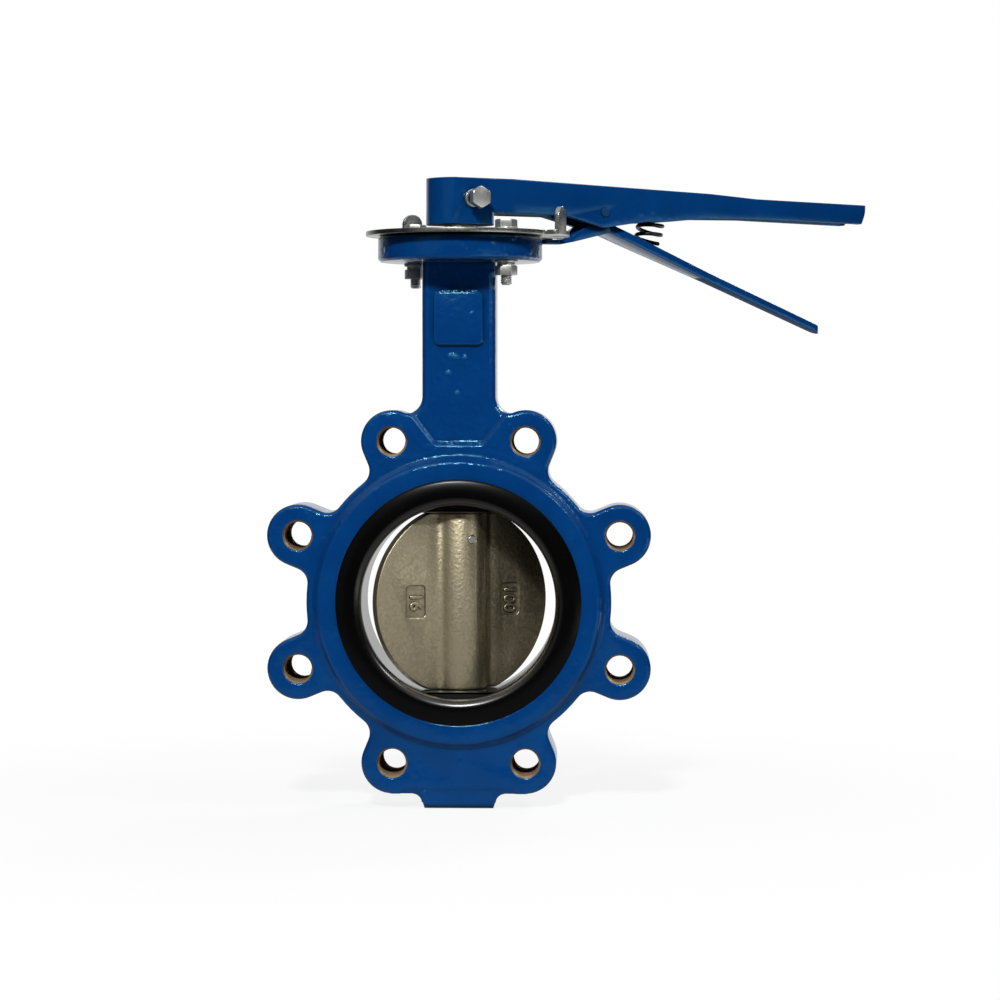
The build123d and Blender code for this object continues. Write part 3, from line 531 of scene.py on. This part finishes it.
# The pads are slices of a cylinder along the passage, and their ends slope down to it.
pad_flat = 0.0461
pad_length = 0.038
pads = []
for side in (-1, 1):
    bpy.ops.object.select_all(action="DESELECT")
    bpy.ops.mesh.primitive_cylinder_add(vertices=192, radius=0.054, depth=pad_length, location=(0, 0, 0))
    pad = bpy.context.object
    turn_to(pad, (pi / 2, 0, 0))
    with edit_mode():
        bpy.ops.mesh.select_all(action="SELECT")
        bpy.ops.mesh.bisect(plane_co=(0, 0, side * pad_flat), plane_no=(0, 0, side), use_fill=True,
                            clear_inner=True)
        pick(pad, "edges",
             lambda e: all(abs(abs(v.co.y) - pad_length / 2) < 1e-5 and abs(abs(v.co.z) - pad_flat) < 1e-5
                           for v in e.verts))
        bpy.ops.mesh.bevel(offset=0.0025, segments=6)
    bpy.ops.object.shade_smooth_by_angle(angle=radians(30))
    pads.append(pad)
join_to(liner, pads)
liner.data.materials.clear()
liner.data.materials.append(black_rubber)
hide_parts("seat_liner")
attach(liner, "valve_body")


# ---- Bushes, seal rings and thrust washer ----
# Turned bronze bushes carry the stem in the neck and in the blind boss. Two square-cut rubber rings keep
# it tight, and a bronze washer takes its end thrust. All of them are out of sight.
def dress(node, finish):
    """Gives a CAD piece its finish."""
    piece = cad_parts[node]
    piece.data.materials.clear()
    piece.data.materials.append(finish)


turned_bronze = plain_surface("turned_bronze", (0.62, 0.42, 0.19, 1), (0.46, 0.30, 0.13, 1),
                              metallic=1.0, roughness=0.34, grain=1400.0, depth=0.00002)
for node in ("neck_bush_upper", "neck_bush_lower", "bottom_bush", "stem_thrust_washer"):
    dress(node, turned_bronze)
dress("stem_seal_rings", black_rubber)


# ---- Stem and retaining ring ----
# A ground stainless bar, 16 mm thick, with an 11 mm square at the top for the lever. It runs through the
# disc and is pinned to it, and a steel ring in a groove keeps it down.
ground_steel = plain_surface("ground_steel", (0.56, 0.55, 0.53, 1), (0.40, 0.39, 0.37, 1),
                             metallic=1.0, roughness=0.30, grain=1800.0, depth=0.00002)
dress("stem", ground_steel)
dress("stem_retaining_ring", ground_steel)


# ---- Disc and taper pin ----
# A round plate with a hub along the stem, cast in ductile iron and nickel plated, so its skin keeps a
# fine warm-grey grain. The rim and the two flat ends by the pads are machined. A steel pin holds the stem.
def sandy_casting(name, colour, dark_colour):
    """Plated iron whose cast skin keeps the sand's grain: pale crests, darker hollows and dull stains, with
    painted shade darkening the corners."""
    finish = bpy.data.materials.new(name)
    tree = empty_tree(finish)
    place = add_node(tree, "ShaderNodeTexCoord").outputs["Object"]
    sand = noise(tree, place, 900.0, 3.0, 0.6)
    lumps = add_node(tree, "ShaderNodeTexVoronoi", {"Vector": place, "Scale": 620.0}, feature="SMOOTH_F1")
    height = combine(tree, "SUBTRACT", sand, lumps.outputs["Distance"])
    crest = ramp(tree, height, (-0.15, 0.35))
    stained = ramp(tree, noise(tree, place, 60.0, 5.0, 0.6), (0.35, 0.65), (0.55, 1.0))
    metal = tint_between(tree, combine(tree, "MULTIPLY", crest, stained), dark_colour, colour)
    # Ambient occlusion darkens the corners round the hub, the fields and the numbers: painted shade.
    corners = add_node(tree, "ShaderNodeAmbientOcclusion", {"Distance": 0.0022}, samples=8)
    corner_shade = ramp(tree, corners.outputs["AO"], (0.50, 0.92), (0.03, 1.0))
    softened = add_node(tree, "ShaderNodeBevel", {"Radius": 0.0007}, samples=8).outputs[0]
    shade = add_node(tree, "ShaderNodeBsdfPrincipled", {
        "Base Color": darkened(tree, metal, corner_shade), "Metallic": 1.0,
        "Roughness": ramp(tree, crest, (0.0, 1.0), (0.50, 0.38)),
        "Normal": bumped(tree, height, 0.0001, softened)})
    add_node(tree, "ShaderNodeOutputMaterial", {"Surface": shade.outputs[0]})
    return finish


plated_iron = sandy_casting("plated_cast_iron", (0.60, 0.53, 0.365, 1), (0.43, 0.375, 0.25, 1))
wing = merged_copy("disc", "butterfly_disc")
edges_rounded(wing, 0.0005, 3)
wing.data.materials.append(plated_iron)
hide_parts("disc")
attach(wing, "stem_and_lever")
dress("disc_taper_pin", ground_steel)

# Plain raised numbers, cast in the recessed fields on both faces of the disc, which stands 30 degrees open.
disc_angle = pi / 6
field_centre = 0.0275
field_depth = 0.0027
for side, figures in ((-1, "16"), (1, "100")):
    for face in (-1, 1):
        bpy.ops.object.select_all(action="DESELECT")
        bpy.ops.object.text_add(location=(0, 0, 0))
        number = bpy.context.object
        number.name = "disc_number"
        number.data.body = figures
        number.data.size = 0.0095
        number.data.align_x = "CENTER"
        number.data.align_y = "CENTER"
        number.data.extrude = 0.0004
        number.data.offset = 0.0001
        number.data.bevel_depth = 0.0002
        number.data.bevel_resolution = 2
        bpy.ops.object.convert(target="MESH")
        number = bpy.context.object
        turn_to(number, (pi / 2, pi / 2, 0))
        turn_to(number, (0, 0, pi if face > 0 else 0), (side * field_centre, face * field_depth, 0))
        turn_to(number, (0, 0, disc_angle))
        number.data.materials.clear()
        number.data.materials.append(plated_iron)
        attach(number, "stem_and_lever")


# ---- Notch plate ----
# Pressed from 2.3 mm sheet and zinc plated: a round plate with a toothed sector for the trigger's tongue
# and two ears bent up as end stops. It lies on the top flange.
zinc_plate = plain_surface("zinc_plated_sheet", (0.42, 0.43, 0.39, 1), (0.24, 0.25, 0.225, 1),
                           metallic=1.0, roughness=0.30, grain=1100.0, depth=0.00004)
plate = merged_copy("notch_plate", "notch_plate_sheet")
edges_rounded(plate, 0.00045, 3)
plate.data.materials.append(zinc_plate)
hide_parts("notch_plate")
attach(plate, "valve_body")


# ---- Plate bolts, washers and nuts ----
# Two M6 hexagon bolts hold the plate down on the top flange, with flat washers above and below and a
# spring washer and nut underneath. All are zinc plated. The shank's end is cut down for the thread.
bright_zinc = plain_surface("zinc_plated_fastener", (0.55, 0.56, 0.53, 1), (0.36, 0.37, 0.35, 1),
                            metallic=0.8, roughness=0.33, grain=1500.0, depth=0.00003)
bolts = merged_copy("plate_bolts", "plate_bolts_m6")
bolt_axes = ((0.02475, -0.02475), (-0.02475, 0.02475))
thread_start = 0.180
core_share = 0.82
with edit_mode():
    for x, y in bolt_axes:
        pick(bolts, "verts",
             lambda v: hypot(v.co.x - x, v.co.y - y) < 0.0031 and v.co.z < thread_start)
        bpy.ops.transform.resize(value=(core_share, core_share, 1), center_override=(x, y, 0))
edges_rounded(bolts, 0.0003, 2)
bolts.data.materials.append(bright_zinc)
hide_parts("plate_bolts")
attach(bolts, "valve_body")

# The thread on each bolt's free end.
bolt_foot = min(vertex.co.z for vertex in bolts.data.vertices)
stub_thread = thread_ridge("bolt_thread", root=0.0024, crest=0.0030, pitch=0.001, turns=8,
                           low=bolt_foot + 0.0008, steps=32)
stub_thread.data.materials.append(bright_zinc)
for x, y in bolt_axes:
    thread = own_copy(stub_thread, "bolt_thread")
    turn_to(thread, (0, 0, 0), (x, y, 0))
    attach(thread, "valve_body")
bpy.data.objects.remove(stub_thread)
for node in ("plate_washers", "plate_spring_washers", "plate_nuts"):
    piece = merged_copy(node, node + "_m6")
    edges_rounded(piece, 0.0002, 2)
    piece.data.materials.append(bright_zinc)
    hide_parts(node)
    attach(piece, "valve_body")


# ---- Lever ----
# A blue painted iron lever, hollow underneath, whose solid head fits over the stem's square, in line with
# the disc. Its belly is deepest behind the trigger's pivot and runs out along the arm.
smooth_enamel = enamel("lever_blue_enamel", (0.0012, 0.042, 0.172, 1), (0.0008, 0.031, 0.135, 1),
                       waves=0.00008, grain=0.00002, rounding=0.0008)
# A darker, duller blue for faces that look down: painted shade.
dark_dull_enamel = enamel("dark_dull_blue_enamel", (0.0010, 0.030, 0.115, 1), (0.0006, 0.018, 0.075, 1),
                     waves=0.00006, grain=0.00004, rounding=0.0004, dullest=0.75)
along_lever = Vector((cos(disc_angle), sin(disc_angle), 0))
across_lever = Vector((sin(disc_angle), -cos(disc_angle), 0))
lever = merged_copy("lever_handle", "lever_arm")

# How far the belly is let down at stations along the arm. The first station is a corner of the casting's
# outline already, and the others are cut through the walls.
belly_drops = ((0.105, 0.0022), (0.114, 0.0021), (0.124, 0.0018), (0.134, 0.0013), (0.146, 0.0005))
belly_roof = 0.2045
grip_start = 0.170
grip_drop = 0.0010
with edit_mode():
    for station, drop in belly_drops[1:]:
        bpy.ops.mesh.select_all(action="SELECT")
        bpy.ops.mesh.bisect(plane_co=along_lever * station, plane_no=along_lever)
    for station, drop in belly_drops:
        pick(lever, "verts",
             lambda v: abs(v.co.dot(along_lever) - station) < 0.0008 and v.co.z < belly_roof)
        bpy.ops.transform.translate(value=(0, 0, -drop))
    pick(lever, "verts", lambda v: v.co.dot(along_lever) > grip_start)
    bpy.ops.transform.translate(value=(0, 0, -grip_drop))
edges_rounded(lever, 0.0011, 3)
lever.data.materials.append(smooth_enamel)
lever.data.materials.append(dark_dull_enamel)
# Faces that look down take the darker blue: painted shade under the lever and in its hollow.
for face in lever.data.polygons:
    if face.normal.z < -0.5:
        face.material_index = 1
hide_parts("lever_handle")
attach(lever, "stem_and_lever")


# ---- Set bolt and washer ----
# An M6 hexagon bolt in the side of the lever's head clamps it on the stem's square. Its shank between
# the head and the washer is coloured near black: painted shade.
shaded_thread = plain_surface("shaded_thread", (0.05, 0.048, 0.045, 1), (0.02, 0.02, 0.02, 1),
                             metallic=0.6, roughness=0.45, grain=1500.0, depth=0.00003)
set_bolt_centre = Vector((0, 0, 0.2085))
for node in ("handle_set_bolt", "set_bolt_washer"):
    piece = merged_copy(node, node + "_m6")
    edges_rounded(piece, 0.0002, 2)
    piece.data.materials.append(bright_zinc)
    if node == "handle_set_bolt":
        piece.data.materials.append(shaded_thread)
        for face in piece.data.polygons:
            off_axis = (face.center - set_bolt_centre).cross(across_lever).length
            # Shank faces take the near-black colour: painted shade.
            if off_axis < 0.0032 and abs(face.normal.dot(across_lever)) < 0.5:
                face.material_index = 1
    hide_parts(node)
    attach(piece, "stem_and_lever")


# ---- Trigger and trigger pin ----
# A flat painted bar under the lever, hung on a pin. Squeezing its tail lifts the tail, and its tongue
# drops out of the notch plate. The tail's underside is a darker, duller blue: painted shade. The pin's ends
# are the same darker blue.
trigger = merged_copy("trigger", "squeeze_trigger")
with edit_mode():
    bpy.ops.mesh.select_all(action="SELECT")
    bpy.ops.mesh.bisect(plane_co=along_lever * 0.145, plane_no=along_lever)
edges_rounded(trigger, 0.0007, 2)
trigger.data.materials.append(smooth_enamel)
trigger.data.materials.append(dark_dull_enamel)
# The tail's downward faces take the darker blue: painted shade.
for face in trigger.data.polygons:
    if face.normal.z < -0.5 and face.center.dot(along_lever) > 0.150:
        face.material_index = 1
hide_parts("trigger")
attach(trigger, "trigger")
dress("trigger_pin", dark_dull_enamel)


# ---- Trigger spring ----
# Four turns of black oiled spring wire between the lever's roof and the trigger's bar, which push the
# tail down. Squeezing presses them together, towards the roof.
oiled_wire = plain_surface("oiled_spring_wire", (0.020, 0.020, 0.022, 1), (0.010, 0.010, 0.011, 1),
                           metallic=0.8, roughness=0.34, grain=1500.0, depth=0.00001)
wire_radius = 0.0011
coil_radius = 0.0066
coil_height = 0.01932
coil_turns = 4
coil_start = 0.0024
spring_lean = radians(11)
spring_seat = along_lever * 0.113 + Vector((0, 0, 0.18734))
bpy.ops.object.select_all(action="DESELECT")
bpy.ops.mesh.primitive_circle_add(vertices=16, radius=wire_radius, fill_type="NOTHING", location=(0, 0, 0))
spring = bpy.context.object
spring.name = "trigger_coil"
turn_to(spring, (pi / 2, 0, 0), (coil_radius, 0, coil_start))
finish_with(spring, "SCREW", axis="Z", angle=2 * pi, screw_offset=coil_height / coil_turns,
            iterations=coil_turns, steps=40, render_steps=40)
with edit_mode():
    weld()
    bpy.ops.mesh.fill_holes(sides=16)
    bpy.ops.mesh.normals_make_consistent(inside=False)
bpy.ops.object.shade_smooth_by_angle(angle=radians(40))
turn_to(spring, (0, spring_lean, 0))
turn_to(spring, (0, 0, disc_angle), spring_seat)
spring.data.materials.append(oiled_wire)
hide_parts("trigger_spring")
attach(spring, "stem_and_lever")
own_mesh(spring)
